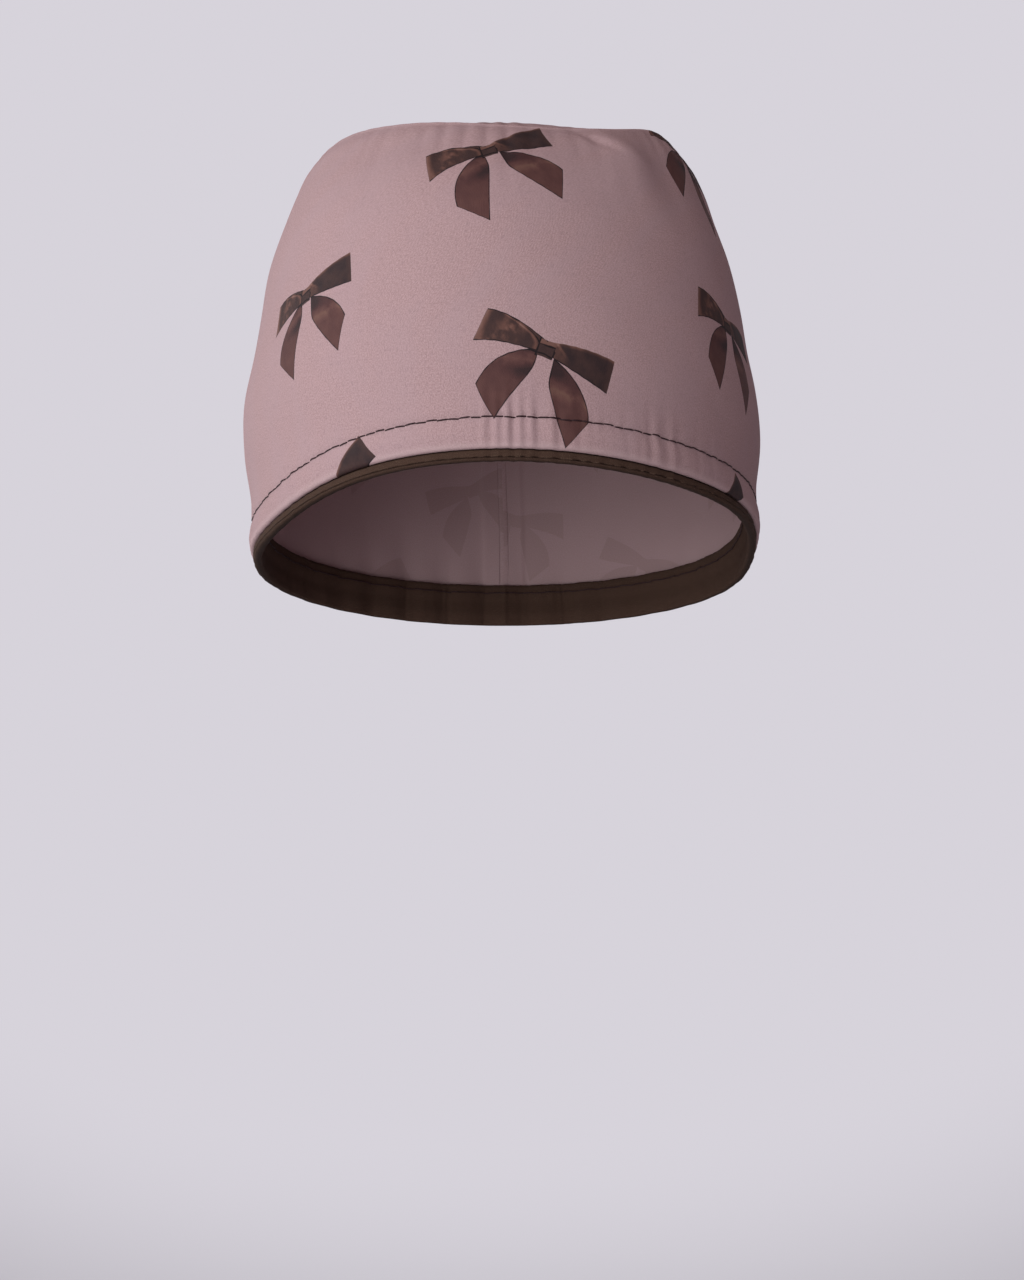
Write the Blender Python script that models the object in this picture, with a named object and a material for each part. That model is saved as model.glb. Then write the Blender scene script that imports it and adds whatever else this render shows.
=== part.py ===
"""A scrub cap of printed cloth, in the shape it has on a head: a side band with a folded hem, a
gathered crown top, and a narrow dark binding that shows below the hem.

Metres, +Z up. The front of the cap faces -Y. The origin is the middle of the head opening, level
with the hem beside the ears. An angle round the cap is 0 at the front and grows towards +X.
"""

import math
from typing import NamedTuple

import bpy
import numpy as np

# Head opening, measured over the hem
RIM_WIDTH = 0.167  # from side to side
RIM_FRONT = 0.098  # from the middle to the front
RIM_BACK = 0.093  # from the middle to the back
RIM_WIDEST = 0.017  # how far behind the middle the opening is widest
RIM_FALL = 0.0420  # from the hem at the front down to the hem at the nape
RIM_WAVE = 0.0040  # the largest rise or dip of the hem from that slope

# Top seam, where the band meets the crown
TOP_WIDTH = 0.121
TOP_FRONT = 0.073
TOP_BACK = 0.074
TOP_HEIGHT = 0.1185  # above the origin
SEAM_WAVE = 0.0040  # the largest rise or dip of the seam from that height
LEAN = 0.0014  # how far the cap leans to its right, -X, half way up

# Crown
CROWN_RISE = 0.007  # from the seam to the middle of the dome

# Cloth
CLOTH = 0.0012
HEM_DEPTH = 0.0092  # from the edge up to the topstitching
HEM_ROLL = 0.0012  # height of the rounded fold at the edge
HEM_PUFF = 0.0005  # how far the hem stands out between its edge and its stitches
STITCH_NIP = 0.0003  # how deep the stitches pull in

# Binding
BINDING_CLOTH = 0.0011
BINDING_SHOW = 0.0038  # what shows below the hem
BINDING_RECESS = 0.0010  # how far its face lies behind the face of the hem
BINDING_HELD = 0.0020  # what reaches above the topstitching
SEWN_GAP = 0.0003  # between pieces that are sewn together

# Gathers: even pleats of one pitch, shallow at the sides
GATHERS = 33  # round the whole cap
GATHER_DEPTH = 0.0008  # at the top seam
GATHER_FALL = 0.014  # how far down they fade out
NAPE_GATHER_DEPTH = 0.0008  # at the hem behind the head
NAPE_GATHER_RISE = 0.022  # how far up they fade out

FOLD_DEPTH = 0.0016  # the deepest soft fold of the band

COLUMNS_A_GATHER = 4
COLUMNS = COLUMNS_A_GATHER * GATHERS


class Section(NamedTuple):
    """Outline of the band at one share of its height. The shares of its side, front and back are
    how far it has drawn in from the size of the rim, 0, to the size of the top seam, 1. Below 0 it
    is fuller than the rim. The lean is a share of LEAN."""

    rise: float
    side: float
    front: float
    back: float
    lean: float


SECTIONS = (
    Section(0.00, 0.000, 0.00, 0.00, 0.0),
    Section(0.12, 0.045, -0.02, -0.26, 0.2),
    Section(0.26, -0.015, -0.04, -0.38, 0.5),
    Section(0.38, 0.015, 0.00, -0.42, 0.9),
    Section(0.50, 0.140, 0.08, -0.36, 1.0),
    Section(0.62, 0.270, 0.18, -0.22, 1.0),
    Section(0.74, 0.412, 0.32, 0.04, 1.2),
    Section(0.84, 0.600, 0.50, 0.34, 1.2),
    Section(0.92, 0.755, 0.73, 0.62, 1.0),
    Section(0.97, 0.880, 0.89, 0.82, 1.0),
    Section(1.00, 1.000, 1.00, 1.00, 0.9),
)


class Wave(NamedTuple):
    """A rise or dip of an edge round the cap: its angle and width in degrees, and its height as a
    share of the edge's largest wave, above 0 where the edge is higher."""

    angle: float
    width: float
    lift: float


RIM_WAVES = (
    Wave(72.0, 26.0, 0.80),
    Wave(-60.0, 24.0, -0.95),
)
SEAM_WAVES = (
    Wave(0.0, 28.0, -0.80),
    Wave(47.0, 16.0, 0.40),
    Wave(-46.0, 15.0, 0.12),
)


class Fold(NamedTuple):
    """A soft fold of the band: its angle at its middle, how far it slants over its reach, and its
    width, in degrees, its depth as a share of FOLD_DEPTH, outwards above 0, and the middle and the
    reach of its height as shares of the band's height."""

    angle: float
    slant: float
    width: float
    depth: float
    middle: float
    reach: float


FOLDS = (
    Fold(24.0, -4.0, 3.2, -0.75, 0.92, 0.12),
    Fold(29.0, -3.0, 4.5, 0.75, 0.93, 0.09),
    Fold(42.0, 1.0, 5.0, -0.45, 0.88, 0.16),
    Fold(-31.0, 0.0, 4.0, -0.40, 0.90, 0.12),
    Fold(-47.0, 2.0, 6.0, 0.30, 0.86, 0.20),
    Fold(-88.0, 0.0, 12.0, -0.20, 0.52, 0.16),
    Fold(86.0, 0.0, 14.0, -0.20, 0.40, 0.16),
    Fold(118.0, 6.0, 9.0, -0.60, 0.55, 0.30),
    Fold(-121.0, -6.0, 10.0, -0.55, 0.50, 0.32),
    Fold(150.0, 3.0, 7.0, -0.80, 0.66, 0.26),
    Fold(-158.0, -4.0, 7.0, -0.70, 0.38, 0.24),
    Fold(176.0, 2.0, 6.0, 0.60, 0.30, 0.25),
)


def section_share(shares, rise):
    """A column of SECTIONS at any rise, on a smooth curve through its rows."""
    knots = np.array([section.rise for section in SECTIONS])
    values = np.array(shares)
    slopes = np.gradient(values, knots)
    at = np.clip(rise, knots[0], knots[-1])
    left = np.clip(np.searchsorted(knots, at, side="right") - 1, 0, len(knots) - 2)
    gap = knots[left + 1] - knots[left]
    t = (at - knots[left]) / gap
    low = values[left] * (1 + 2 * t) * (1 - t) ** 2 + slopes[left] * gap * t * (1 - t) ** 2
    high = values[left + 1] * t**2 * (3 - 2 * t) + slopes[left + 1] * gap * t**2 * (t - 1)
    return low + high


def bell(distance, width):
    """A smooth hump of height 1 and the given half width."""
    return np.exp(-((distance / width) ** 2))


def degrees_between(theta, angle):
    """Signed degrees from an angle round the cap to each theta, the short way round."""
    return (np.degrees(theta) - angle + 180.0) % 360.0 - 180.0


def oval_depth(theta, front, back, widest):
    """Y on an oval with its own reach to the front and back, widest a little behind the middle."""
    reach = np.where(np.cos(theta) > 0, front + widest, back - widest)
    return widest - reach * np.cos(theta), reach


def wave_lift(theta, waves, largest):
    """How far the waves of an edge lift it at each angle."""
    lifts = [wave.lift * bell(degrees_between(theta, wave.angle), wave.width) for wave in waves]
    return largest * sum(lifts)


def rim_level(theta):
    """Height of the hem's edge at each angle."""
    depth, _ = oval_depth(theta, RIM_FRONT, RIM_BACK, RIM_WIDEST)
    slope = RIM_FALL / (RIM_FRONT + RIM_BACK)
    return wave_lift(theta, RIM_WAVES, RIM_WAVE) - slope * depth


def band_height(theta):
    """Height of the band from the hem's edge to the top seam."""
    return TOP_HEIGHT + wave_lift(theta, SEAM_WAVES, SEAM_WAVE) - rim_level(theta)


def fold_relief(theta, rise):
    """How far the soft folds move the cloth outwards."""
    relief = 0.0
    for fold in FOLDS:
        along = (rise - fold.middle) / fold.reach
        across = degrees_between(theta, fold.angle) + fold.slant * along
        relief = relief + fold.depth * bell(across, fold.width) * bell(along, 1.0)
    return FOLD_DEPTH * relief


def gather_relief(theta, height):
    """Even pleats below the top seam and above the hem of the nape."""
    pleat = np.cos(GATHERS * theta)
    below_seam = np.maximum(band_height(theta) - height, 0.0)
    fullness = 0.3 + 0.7 * bell(degrees_between(theta, -8.0), 20.0)
    fullness = fullness + 0.5 * bell(degrees_between(theta, 180.0), 50.0)
    top = GATHER_DEPTH * fullness * bell(below_seam, GATHER_FALL)
    behind = bell(degrees_between(theta, 180.0), 55.0)
    nape = NAPE_GATHER_DEPTH * behind * bell(np.maximum(height, 0.0), NAPE_GATHER_RISE)
    return (top + nape) * pleat


def band_surface(theta, height):
    """Outer face of the band at an angle and a height above the hem's edge. A ring of two half
    ovals, longer or shorter to the front than to the back, drawn in as the sections say."""
    theta, height = np.broadcast_arrays(theta, height)
    rise = height / band_height(theta)
    side = section_share([section.side for section in SECTIONS], rise)
    front = section_share([section.front for section in SECTIONS], rise)
    back = section_share([section.back for section in SECTIONS], rise)
    lean = section_share([section.lean for section in SECTIONS], rise)
    half_width = (RIM_WIDTH + (TOP_WIDTH - RIM_WIDTH) * side) / 2
    y, reach = oval_depth(
        theta,
        RIM_FRONT + (TOP_FRONT - RIM_FRONT) * front,
        RIM_BACK + (TOP_BACK - RIM_BACK) * back,
        RIM_WIDEST * (1 - np.clip(rise, 0.0, 1.0)),
    )
    out_x = np.sin(theta) / half_width
    out_y = -np.cos(theta) / reach
    length = np.hypot(out_x, out_y)
    relief = fold_relief(theta, rise) + gather_relief(theta, height)
    x = half_width * np.sin(theta) - LEAN * lean + relief * out_x / length
    y = y + relief * out_y / length
    return np.stack([x, y, rim_level(theta) + height], axis=-1)


def band_directions(theta, height):
    """Unit vectors up the cloth and out of it, from small steps along the surface."""
    step_round = 0.002
    step_up = 0.0002
    around = band_surface(theta + step_round, height) - band_surface(theta - step_round, height)
    up = band_surface(theta, height + step_up) - band_surface(theta, height - step_up)
    out = np.cross(around, up)
    up = up / np.linalg.norm(up, axis=-1, keepdims=True)
    return up, out / np.linalg.norm(out, axis=-1, keepdims=True)


def band_point(theta, height, depth):
    """A point at some depth behind the band's outer face."""
    _, out = band_directions(theta, height)
    return band_surface(theta, height) - out * np.asarray(depth)[..., None]


def angles():
    return np.linspace(-math.pi, math.pi, COLUMNS, endpoint=False)


def ring_faces(rows, first=0, closed=False):
    """Quads between neighbouring rings of COLUMNS points, and back to the first ring if closed."""
    faces = []
    for row in range(rows if closed else rows - 1):
        here = first + row * COLUMNS
        there = first + (row + 1) % rows * COLUMNS
        for column in range(COLUMNS):
            beside = (column + 1) % COLUMNS
            faces.append((here + column, here + beside, there + beside, there + column))
    return faces


def carried_round(loop):
    """A closed solid: a loop of (height, depth) rings, worked out at each angle round the cap."""
    theta = angles()
    rings = [band_point(theta, height(theta), depth) for height, depth in loop]
    return np.concatenate(rings), ring_faces(len(rings), closed=True)


def at_height(value):
    """A ring at one height above the hem's edge."""
    return lambda theta: np.full_like(theta, value)


def at_share(share):
    """A ring at a share of the way from the topstitching to the top seam."""
    return lambda theta: HEM_DEPTH + share * (band_height(theta) - HEM_DEPTH)


def cloth_material(name, colour, roughness):
    """A matt, non-metallic finish."""
    material = bpy.data.materials.new(name)
    material.use_nodes = True
    shader = material.node_tree.nodes["Principled BSDF"]
    shader.inputs["Base Color"].default_value = (*colour, 1.0)
    shader.inputs["Roughness"].default_value = roughness
    shader.inputs["Metallic"].default_value = 0.0
    return material


def add_piece(name, points, faces, material):
    """An object of its own for one sub-part, shaded smooth between its shallow edges."""
    mesh = bpy.data.meshes.new(name)
    mesh.from_pydata(points.tolist(), [], faces)
    mesh.materials.append(material)
    mesh.shade_smooth()
    mesh.set_sharp_from_angle(angle=math.radians(40.0))
    piece = bpy.data.objects.new(name, mesh)
    bpy.context.scene.collection.objects.link(piece)
    return piece


def make_side_band(material):
    """The band: outer face up to the seam, the cloth's edge there, and the inner face back down,
    which doubles its thickness over the hem."""
    hem_wall = 2 * CLOTH
    outer_shares = (0.06, 0.17, 0.29, 0.41, 0.53, 0.65, 0.76, 0.86, 0.93, 1.0)
    inner_shares = (1.0, 0.9, 0.74, 0.56, 0.38, 0.2)
    loop = [
        (at_height(0.0), hem_wall / 2),
        (at_height(HEM_ROLL), 0.0),
        (at_height(HEM_DEPTH / 2), -HEM_PUFF),
        (at_height(HEM_DEPTH), STITCH_NIP),
    ]
    loop += [(at_share(share), 0.0) for share in outer_shares]
    loop += [(at_share(share), CLOTH) for share in inner_shares]
    loop += [
        (at_height(HEM_DEPTH + CLOTH), CLOTH),
        (at_height(HEM_DEPTH), hem_wall),
        (at_height(HEM_ROLL), hem_wall),
    ]
    points, faces = carried_round(loop)
    return add_piece("side_band", points, faces, material)


def make_rim_binding(material):
    """The binding: a folded strip that hangs below the hem and reaches up behind it."""
    fold = BINDING_CLOTH / 2
    behind_hem = 2 * CLOTH + SEWN_GAP
    inner_face = behind_hem + BINDING_CLOTH
    top = HEM_DEPTH + BINDING_HELD
    loop = [
        (at_height(-BINDING_SHOW), (BINDING_RECESS + inner_face) / 2),
        (at_height(fold - BINDING_SHOW), BINDING_RECESS),
        (at_height(-SEWN_GAP - fold), BINDING_RECESS),
        (at_height(-SEWN_GAP), BINDING_RECESS + fold),
        (at_height(-SEWN_GAP), behind_hem),
        (at_height(top), behind_hem),
        (at_height(top), inner_face),
        (at_height(fold - BINDING_SHOW), inner_face),
    ]
    points, faces = carried_round(loop)
    return add_piece("rim_binding", points, faces, material)


def crown_ring(edge, share, depth):
    """A ring of the crown at a share of the way out from its middle, under a low dome. The pleats
    of its edge die out inwards."""
    level = TOP_HEIGHT - depth
    height = level + (edge[:, 2] - level) * share**8 + CROWN_RISE * (1 - share**2)
    return np.stack([edge[:, 0] * share, edge[:, 1] * share, height], axis=-1)


def make_crown_top(material):
    """The tip: two faces a cloth's thickness apart, each drawn in to its middle, joined round the
    edge, which stands clear of the band's top edge by the sewn gap."""
    theta = angles()
    height = band_height(theta)
    up, _ = band_directions(theta, height)
    shares = (1.0, 0.93, 0.83, 0.68, 0.48, 0.26)
    under_shares = (1.0, 0.86, 0.62, 0.32)
    over = band_point(theta, height, 0.0) + SEWN_GAP * up
    under = band_point(theta, height, CLOTH) + SEWN_GAP * up
    rings = [crown_ring(over, share, 0.0) for share in reversed(shares)]
    rings += [crown_ring(under, share, CLOTH) for share in under_shares]
    middles = [crown_ring(over, 0.0, 0.0)[:1], crown_ring(under, 0.0, CLOTH)[:1]]
    points = np.concatenate(rings + middles)
    faces = [face[::-1] for face in ring_faces(len(rings))]
    top = len(rings) * COLUMNS
    last = (len(rings) - 1) * COLUMNS
    for column in range(COLUMNS):
        beside = (column + 1) % COLUMNS
        faces.append((column, beside, top))
        faces.append((last + beside, last + column, top + 1))
    return add_piece("crown_top", points, faces, material)


def clear_scene():
    for item in list(bpy.data.objects):
        bpy.data.objects.remove(item, do_unlink=True)


clear_scene()
printed_cotton = cloth_material("printed_cotton", (0.42, 0.29, 0.31), 0.85)
binding_cotton = cloth_material("binding_cotton", (0.055, 0.036, 0.028), 0.8)
make_side_band(printed_cotton)
make_crown_top(printed_cotton)
make_rim_binding(binding_cotton)
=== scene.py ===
"""A scrub cap of mauve cotton printed with ribbon bows, in the shape it has when worn.

Metres, +Z up, front towards -Y. An angle round the cap is 0 at the front and grows towards +X.
"""

import math
from typing import NamedTuple

import bmesh
import bpy
import numpy as np
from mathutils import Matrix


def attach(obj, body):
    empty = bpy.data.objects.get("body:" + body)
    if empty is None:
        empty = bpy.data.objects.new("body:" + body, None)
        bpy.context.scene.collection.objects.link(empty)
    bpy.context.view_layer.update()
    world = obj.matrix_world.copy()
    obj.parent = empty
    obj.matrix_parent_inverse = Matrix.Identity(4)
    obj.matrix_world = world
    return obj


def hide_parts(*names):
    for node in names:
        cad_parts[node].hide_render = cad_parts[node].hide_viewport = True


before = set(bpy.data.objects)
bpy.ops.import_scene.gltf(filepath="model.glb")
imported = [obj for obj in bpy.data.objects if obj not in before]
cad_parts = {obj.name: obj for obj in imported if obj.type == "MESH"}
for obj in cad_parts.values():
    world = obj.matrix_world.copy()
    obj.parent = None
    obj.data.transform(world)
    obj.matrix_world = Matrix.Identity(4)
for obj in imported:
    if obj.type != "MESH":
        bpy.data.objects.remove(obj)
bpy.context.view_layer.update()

# Camera
# Level, straight at the front of the cap and a little below its hem, half a metre away.
CAMERA_AWAY = 0.520
CAMERA_LEVEL = -0.029
CAMERA_SHIFT = 0.0055

camera_data = bpy.data.cameras.new("camera")
camera_data.lens = 45.0
camera_data.sensor_width = 36.0
camera_data.shift_x = CAMERA_SHIFT
camera_data.clip_start = 0.02
camera = bpy.data.objects.new("camera", camera_data)
camera.location = (0.0, -CAMERA_AWAY, CAMERA_LEVEL)
camera.rotation_euler = (math.pi / 2, 0.0, 0.0)
bpy.context.scene.collection.objects.link(camera)
bpy.context.scene.camera = camera
bpy.context.scene.view_settings.view_transform = "Standard"

# Floor and wall
# A pale paper sweep: a round floor far below the cap that curves up into a wall all round. The
# half behind the cap is lit through from its back, so that it glows evenly.
SWEEP_LEVEL = -1.50
SWEEP_FLAT = 2.2  # radius of the flat floor
SWEEP_BEND = 1.2  # radius of the bend between floor and wall
SWEEP_WALL = 2.4  # height of the wall above the bend
GLOW_COLOUR = (0.958, 0.920, 1.0)
GLOW_STRENGTH = 0.708
GLOW_DEPTHS = (2.1, 3.05)  # how far behind the cap the glow starts and is full
GLOW_LEVELS = (SWEEP_LEVEL - 0.9, SWEEP_LEVEL + 0.05)  # the same, upwards
PAPER = (0.62, 0.60, 0.635)


def surface_mesh(name, points, faces):
    """A mesh from an array of points and an array of four-sided faces, shaded smooth."""
    mesh = bpy.data.meshes.new(name)
    mesh.vertices.add(len(points))
    mesh.vertices.foreach_set("co", np.ascontiguousarray(points, np.float32).ravel())
    mesh.loops.add(faces.size)
    mesh.loops.foreach_set("vertex_index", faces.astype(np.int32).ravel())
    mesh.polygons.add(len(faces))
    mesh.polygons.foreach_set("loop_start", np.arange(0, faces.size, 4, dtype=np.int32))
    mesh.update(calc_edges=True)
    mesh.validate()
    mesh.shade_smooth()
    return mesh


def grid_faces(rows, columns, round_rows=False, round_columns=False):
    """Four-sided faces between neighbouring points of a grid. A round grid joins its last row or
    column to its first."""
    row = np.arange(rows if round_rows else rows - 1)[:, None]
    column = np.arange(columns if round_columns else columns - 1)[None, :]
    above = (row + 1) % rows * columns
    beside = (column + 1) % columns
    corners = (row * columns + column, row * columns + beside, above + beside, above + column)
    return np.stack(corners, axis=-1).reshape(-1, 4)


def new_object(mesh, material):
    """An object at the origin for a mesh that has its place in its points."""
    item = bpy.data.objects.new(mesh.name, mesh)
    mesh.materials.append(material)
    bpy.context.scene.collection.objects.link(item)
    return item


def new_finish(name):
    """A material, its node tree and its main shader."""
    material = bpy.data.materials.new(name)
    material.use_nodes = True
    return material, material.node_tree, material.node_tree.nodes["Principled BSDF"]


def sweep_points():
    """Rings about the upright axis: out along the floor, round a quarter circle, and up."""
    bend = np.linspace(0.0, math.pi / 2, 12)
    curve = SWEEP_FLAT + SWEEP_BEND * np.sin(bend)
    out = np.concatenate([[0.002, 1.2], curve, [SWEEP_FLAT + SWEEP_BEND]])
    level = np.concatenate([[0.0, 0.0], SWEEP_BEND * (1 - np.cos(bend)), [SWEEP_BEND + SWEEP_WALL]])
    turn = np.linspace(0.0, 2 * math.pi, 96, endpoint=False)
    x = out[:, None] * np.cos(turn)
    y = out[:, None] * np.sin(turn)
    return np.stack([x, y, np.broadcast_to(SWEEP_LEVEL + level[:, None], x.shape)], axis=-1)


def glowing_paper(name):
    """Matt pale paper. Behind the cap it glows instead of scattering light, less so low down."""
    material, tree, shader = new_finish(name)
    shader.inputs["Roughness"].default_value = 1.0
    shader.inputs["Specular IOR Level"].default_value = 0.0
    shader.inputs["Emission Color"].default_value = (*GLOW_COLOUR, 1.0)
    place = tree.nodes.new("ShaderNodeSeparateXYZ")
    tree.links.new(tree.nodes.new("ShaderNodeTexCoord").outputs["Object"], place.inputs[0])
    shares = []
    for output, (low, high) in (("Y", GLOW_DEPTHS), ("Z", GLOW_LEVELS)):
        fade = tree.nodes.new("ShaderNodeMapRange")
        fade.interpolation_type = "SMOOTHSTEP"
        tree.links.new(place.outputs[output], fade.inputs["Value"])
        fade.inputs["From Min"].default_value = low
        fade.inputs["From Max"].default_value = high
        shares.append(fade)
    both = tree.nodes.new("ShaderNodeMath")
    both.operation = "MULTIPLY"
    tree.links.new(shares[0].outputs["Result"], both.inputs[0])
    tree.links.new(shares[1].outputs["Result"], both.inputs[1])
    strength = tree.nodes.new("ShaderNodeMath")
    strength.operation = "MULTIPLY"
    tree.links.new(both.outputs[0], strength.inputs[0])
    strength.inputs[1].default_value = GLOW_STRENGTH
    tree.links.new(strength.outputs[0], shader.inputs["Emission Strength"])
    paper = tree.nodes.new("ShaderNodeMix")
    paper.data_type = "RGBA"
    tree.links.new(both.outputs[0], paper.inputs["Factor"])
    paper.inputs[6].default_value = (*PAPER, 1.0)
    paper.inputs[7].default_value = (0.0, 0.0, 0.0, 1.0)
    tree.links.new(paper.outputs[2], shader.inputs["Base Color"])
    return material


rings = sweep_points()
sweep = new_object(
    surface_mesh("paper_sweep", rings.reshape(-1, 3), grid_faces(*rings.shape[:2], round_columns=True)),
    glowing_paper("sweep_paper"),
)

# Lights
# Two large soft windows, one at the left and a little behind, the other nearly in front, and a dim
# warm room round them.
SIDE_PLACE = (-1.50, 0.28, 0.20)
SIDE_WATTS = 15.0
SIDE_COLOUR = (0.86, 0.99, 1.0)
FRONT_PLACE = (-0.71, -1.40, 0.20)
FRONT_WATTS = 30.0
FRONT_COLOUR = (0.875, 0.99, 1.0)
WINDOW_SIZE = 1.6
CAP_MIDDLE = (0.0, 0.0, 0.05)
ROOM_COLOUR = (1.0, 0.76, 0.73)
ROOM_STRENGTH = 0.23


def soft_window(name, place, size, watts, colour):
    """A square area light that faces the cap."""
    data = bpy.data.lights.new(name, "AREA")
    data.size = size
    data.energy = watts
    data.color = colour
    light = bpy.data.objects.new(name, data)
    away = np.array(place) - CAP_MIDDLE
    light.location = place
    light.rotation_euler = (
        math.atan2(math.hypot(away[0], away[1]), away[2]),
        0.0,
        math.atan2(away[1], away[0]) + math.pi / 2,
    )
    light.visible_camera = False
    bpy.context.scene.collection.objects.link(light)
    return light


soft_window("side_window", SIDE_PLACE, WINDOW_SIZE, SIDE_WATTS, SIDE_COLOUR)
soft_window("front_window", FRONT_PLACE, WINDOW_SIZE, FRONT_WATTS, FRONT_COLOUR)
room = bpy.data.worlds.new("room")
room.use_nodes = True
room.node_tree.nodes["Background"].inputs["Color"].default_value = (*ROOM_COLOUR, 1.0)
room.node_tree.nodes["Background"].inputs["Strength"].default_value = ROOM_STRENGTH
bpy.context.scene.world = room

# Side band
# One strip of printed cotton all round the head, seamed at the centre back, eased into the crown
# at its top and folded inwards at its lower edge as a topstitched hem.
RIM_WIDTH = 0.167  # the head opening from side to side
RIM_FRONT = 0.098  # from its middle to the front
RIM_BACK = 0.093  # from its middle to the back
RIM_WIDEST = 0.017  # how far behind the middle it is widest
RIM_FALL = 0.0420  # from the hem at the front down to the hem at the nape
RIM_WAVE = 0.0040  # the hem's largest rise or dip from that slope
TOP_WIDTH = 0.121  # the top seam's oval from side to side
TOP_FRONT = 0.073
TOP_BACK = 0.074
TOP_HEIGHT = 0.1185  # above the middle of the head opening
SEAM_WAVE = 0.0040  # the measure of the top seam's rises and dips
LEAN = 0.0014  # how far the cap leans to -X half way up
CLOTH = 0.0012
HEM_DEPTH = 0.0092  # from the edge up to the end of the turned-in cloth
HEM_PUFF = 0.00045  # how far the hem stands out below its stitches
STITCH_HEIGHT = 0.0084  # from the edge up to the topstitching
STITCH_NIP = 0.0004  # how deep the stitches pull in
GROOVE_WIDTH = 0.0011  # how far from them the cloth is pulled in
STITCHES = 172  # round the whole hem
FOLD_DEPTH = 0.0016  # the measure of the soft folds
GATHERS = 63  # fine pleats round the top seam
GATHER_DEPTH = 0.00030
GATHER_FALL = 0.0105  # how far down they fade out
SEAM_HOLD = 0.0014  # how near the seam it presses them flat
NAPE_GATHERS = 33
NAPE_GATHER_DEPTH = 0.0008
NAPE_GATHER_RISE = 0.022  # how far up they fade out
PUCKER_DEPTH = 0.00016
PUCKER_REACH = 0.0072  # how far above and below the stitches they run
FINE_PUCKERS = 131  # round the whole hem
BROAD_PUCKERS = 83
SLACK_DEPTH = 0.00035
SLACK_RIPPLE = 0.00012
SEAM_GROOVE = 0.0006  # depth of the centre back seam
SEAM_GROOVE_WIDTH = 0.5  # in degrees
TOP_ROLL = 0.0007  # height of the band's rounded top edge
FINE_STEP = 0.002
BROAD_STEP = 0.030
BAND_COLUMNS = 520


class Section(NamedTuple):
    """Outline of the band at one share of its height. The shares of its side, front and back are
    how far it has drawn in from the size of the rim, 0, to the size of the top seam, 1. The lean
    is a share of LEAN."""

    rise: float
    side: float
    front: float
    back: float
    lean: float


SECTIONS = (
    Section(0.00, 0.000, 0.00, 0.00, 0.0),
    Section(0.12, 0.045, -0.02, -0.26, 0.2),
    Section(0.26, -0.015, -0.04, -0.38, 0.5),
    Section(0.38, 0.015, 0.00, -0.42, 0.9),
    Section(0.50, 0.140, 0.08, -0.36, 1.0),
    Section(0.62, 0.270, 0.18, -0.22, 1.0),
    Section(0.74, 0.412, 0.32, 0.04, 1.2),
    Section(0.84, 0.600, 0.50, 0.34, 1.2),
    Section(0.92, 0.755, 0.73, 0.62, 1.0),
    Section(0.97, 0.880, 0.89, 0.82, 1.0),
    Section(1.00, 1.000, 1.00, 1.00, 0.9),
)


class Wave(NamedTuple):
    """A rise or dip of an edge round the cap: angle and width in degrees, and lift as a share."""

    angle: float
    width: float
    lift: float


RIM_WAVES = (Wave(72.0, 26.0, 0.80), Wave(-60.0, 24.0, -0.95))
SEAM_WAVES = (
    Wave(0.0, 28.0, -0.80),
    Wave(20.0, 22.0, -0.42),
    Wave(49.0, 12.0, 0.60),
    Wave(-46.0, 15.0, 0.12),
)


class Fold(NamedTuple):
    """A soft fold: its angle, its slant over its reach and its width, in degrees, its depth as a
    share of FOLD_DEPTH, outwards above 0, and the middle and reach of its height as shares."""

    angle: float
    slant: float
    width: float
    depth: float
    middle: float
    reach: float


FOLDS = (
    Fold(24.4, 4.2, 2.0, -0.55, 0.960, 0.038),
    Fold(29.8, 0.6, 2.6, -0.16, 0.83, 0.09),
    Fold(30.4, 3.0, 4.4, 0.85, 0.945, 0.055),
    Fold(32.0, 0.6, 8.0, 1.05, 0.88, 0.11),
    Fold(43.0, 1.0, 5.0, -0.40, 0.88, 0.16),
    Fold(-31.0, 0.0, 4.0, -0.40, 0.90, 0.12),
    Fold(-47.0, 2.0, 6.0, 0.30, 0.86, 0.20),
    Fold(-88.0, 0.0, 12.0, -0.20, 0.52, 0.16),
    Fold(86.0, 0.0, 14.0, -0.20, 0.40, 0.16),
    Fold(118.0, 6.0, 9.0, -0.60, 0.55, 0.30),
    Fold(-121.0, -6.0, 10.0, -0.55, 0.50, 0.32),
    Fold(150.0, 3.0, 7.0, -0.80, 0.66, 0.26),
    Fold(-158.0, -4.0, 7.0, -0.70, 0.38, 0.24),
    Fold(176.0, 2.0, 6.0, 0.60, 0.30, 0.25),
)


def column_of(name):
    """One column of SECTIONS as an array."""
    return np.array([getattr(section, name) for section in SECTIONS])


def section_share(name, rise):
    """A column of SECTIONS at any rise, on a smooth cubic through its rows."""
    knots, values = column_of("rise"), column_of(name)
    slopes = np.gradient(values, knots)
    at = np.clip(rise, 0.0, 1.0)
    left = np.clip(np.searchsorted(knots, at, side="right") - 1, 0, len(knots) - 2)
    gap = knots[left + 1] - knots[left]
    t = (at - knots[left]) / gap
    low = values[left] * (1 + 2 * t) * (1 - t) ** 2 + slopes[left] * gap * t * (1 - t) ** 2
    high = values[left + 1] * t**2 * (3 - 2 * t) + slopes[left + 1] * gap * t**2 * (t - 1)
    return low + high


def bell(distance, width):
    """A smooth hump of height 1 and the given half width."""
    return np.exp(-((distance / width) ** 2))


def degrees_between(theta, angle):
    """Signed degrees from an angle round the cap to each theta, the short way round."""
    return (np.degrees(theta) - angle + 180.0) % 360.0 - 180.0


def hump(theta, angle, width):
    """A bell at one angle round the cap, both in degrees."""
    return bell(degrees_between(theta, angle), width)


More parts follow.
